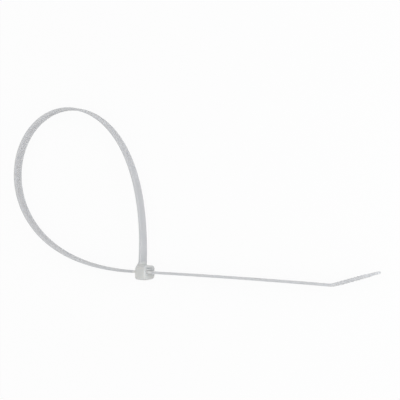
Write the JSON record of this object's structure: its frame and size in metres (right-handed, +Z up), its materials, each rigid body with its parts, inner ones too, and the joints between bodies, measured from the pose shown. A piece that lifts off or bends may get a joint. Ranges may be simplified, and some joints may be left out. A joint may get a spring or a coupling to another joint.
{
  "type": "cable tie",
  "caption": "One-piece nylon cable tie, its toothed strap threaded through the ratchet head into a loose open loop, with a bent grip at the end of the tail.",
  "frame": {"origin": "middle of the slot in the head, on the side face of the head that the tie lies on", "axes": "+X along the tail, out of the head; +Y along the strap where it leaves the neck; +Z up, across the width of the strap"},
  "size_m": [0.2015, 0.0828, 0.0088],
  "materials": {
    "natural_nylon": "natural milky nylon, satin as moulded"
  },
  "bodies": {
    "root": {"cable_tie": "natural_nylon"}
  },
  "joints": []
}
